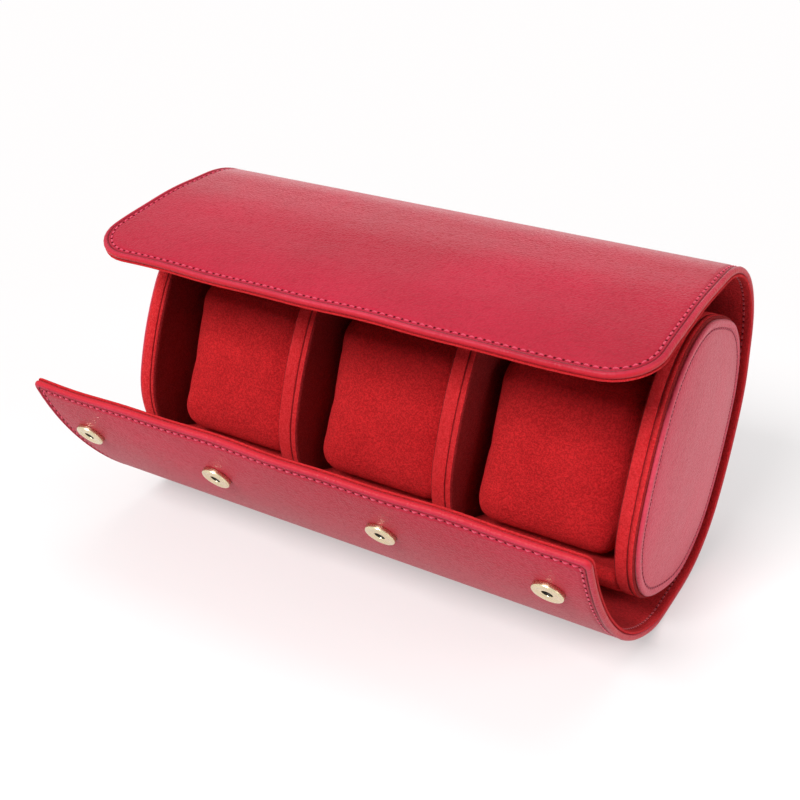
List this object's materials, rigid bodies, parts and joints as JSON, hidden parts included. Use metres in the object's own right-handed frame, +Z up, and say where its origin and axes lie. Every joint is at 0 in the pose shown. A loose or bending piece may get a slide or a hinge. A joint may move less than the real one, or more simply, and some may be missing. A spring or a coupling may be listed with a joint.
{
  "type": "watch travel case",
  "caption": "Leather travel case for wristwatches: a wrap of hinged flaps round padded end walls and dividers, with removable cushions and magnetic snaps",
  "frame": {"origin": "the middle of the flat base that the case stands on", "axes": "+X along the case, +Y to its back, +Z up; the opening faces -Y"},
  "size_m": [0.2304, 0.1617, 0.131],
  "materials": {
    "wrap_leather": "smooth grained crimson leather",
    "cap_leather": "smooth rose leather",
    "suede": "suede with a short pile",
    "board": "pressed fibre board",
    "wadding": "loose wadding",
    "foam": "soft upholstery foam",
    "snap_metal": "pale gold plate, satin",
    "magnet": "plated magnet"
  },
  "bodies": {
    "case": {"bed_left": "suede", "bed_middle": "suede", "bed_right": "suede", "divider_left_board": "board", "divider_left_suede": "suede", "divider_right_board": "board", "divider_right_suede": "suede", "end_cap_left_board": "board", "end_cap_left_leather": "cap_leather", "end_cap_left_padding": "wadding", "end_cap_right_board": "board", "end_cap_right_leather": "cap_leather", "end_cap_right_padding": "wadding", "end_wall_left_board": "board", "end_wall_left_suede": "suede", "end_wall_right_board": "board", "end_wall_right_suede": "suede", "wrap_back_board": "board", "wrap_back_leather": "wrap_leather", "wrap_back_lining": "suede"},
    "lower_flap_inner": {"lower_flap_inner_board": "board", "lower_flap_inner_leather": "wrap_leather", "lower_flap_inner_lining": "suede"},
    "lower_flap_outer": {"lower_flap_outer_board": "board", "lower_flap_outer_leather": "wrap_leather", "lower_flap_outer_lining": "suede", "snap_socket_magnets": "magnet", "snap_socket_pins": "snap_metal", "snap_socket_shells": "snap_metal"},
    "upper_flap_back": {"upper_flap_back_board": "board", "upper_flap_back_leather": "wrap_leather", "upper_flap_back_lining": "suede"},
    "upper_flap_middle": {"upper_flap_middle_board": "board", "upper_flap_middle_leather": "wrap_leather", "upper_flap_middle_lining": "suede"},
    "upper_flap_front": {"snap_stud_pins": "snap_metal", "snap_studs": "snap_metal", "upper_flap_front_board": "board", "upper_flap_front_leather": "wrap_leather", "upper_flap_front_lining": "suede"},
    "cushion_left": {"cushion_left_foam": "foam", "cushion_left_suede": "suede"},
    "cushion_middle": {"cushion_middle_foam": "foam", "cushion_middle_suede": "suede"},
    "cushion_right": {"cushion_right_foam": "foam", "cushion_right_suede": "suede"}
  },
  "joints": [
    {"name": "lower_fold", "type": "hinge", "parent": "case", "child": "lower_flap_inner", "pos_m": [0, -0.026, 0.0018], "axis": [1, 0, 0], "range_deg": [-21.6, 15]},
    {"name": "lower_outer_fold", "type": "hinge", "parent": "lower_flap_inner", "child": "lower_flap_outer", "pos_m": [0, -0.0693, 0.0268], "axis": [1, 0, 0], "range_deg": [-31.32, 21.75]},
    {"name": "upper_fold", "type": "hinge", "parent": "case", "child": "upper_flap_back", "pos_m": [0, 0.05302, 0.08084], "axis": [-1, 0, 0], "range_deg": [-11.2, 85]},
    {"name": "upper_middle_fold", "type": "hinge", "parent": "upper_flap_back", "child": "upper_flap_middle", "pos_m": [0, -0.00012, 0.12868], "axis": [-1, 0, 0], "range_deg": [-7.2, 3]},
    {"name": "upper_front_fold", "type": "hinge", "parent": "upper_flap_middle", "child": "upper_flap_front", "pos_m": [0, -0.03404, 0.12631], "axis": [-1, 0, 0], "range_deg": [-28.8, 12]},
    {"name": "cushion_left_slide", "type": "slide", "parent": "case", "child": "cushion_left", "axis": [0, -0.866, 0.5], "range_m": [0, 0.05]},
    {"name": "cushion_middle_slide", "type": "slide", "parent": "case", "child": "cushion_middle", "axis": [0, -0.866, 0.5], "range_m": [0, 0.05]},
    {"name": "cushion_right_slide", "type": "slide", "parent": "case", "child": "cushion_right", "axis": [0, -0.866, 0.5], "range_m": [0, 0.05]}
  ],
  "couplings": [
    {"joint": "lower_outer_fold", "follows": "lower_fold", "ratio": 1.45},
    {"joint": "upper_front_fold", "follows": "upper_middle_fold", "ratio": 4}
  ]
}
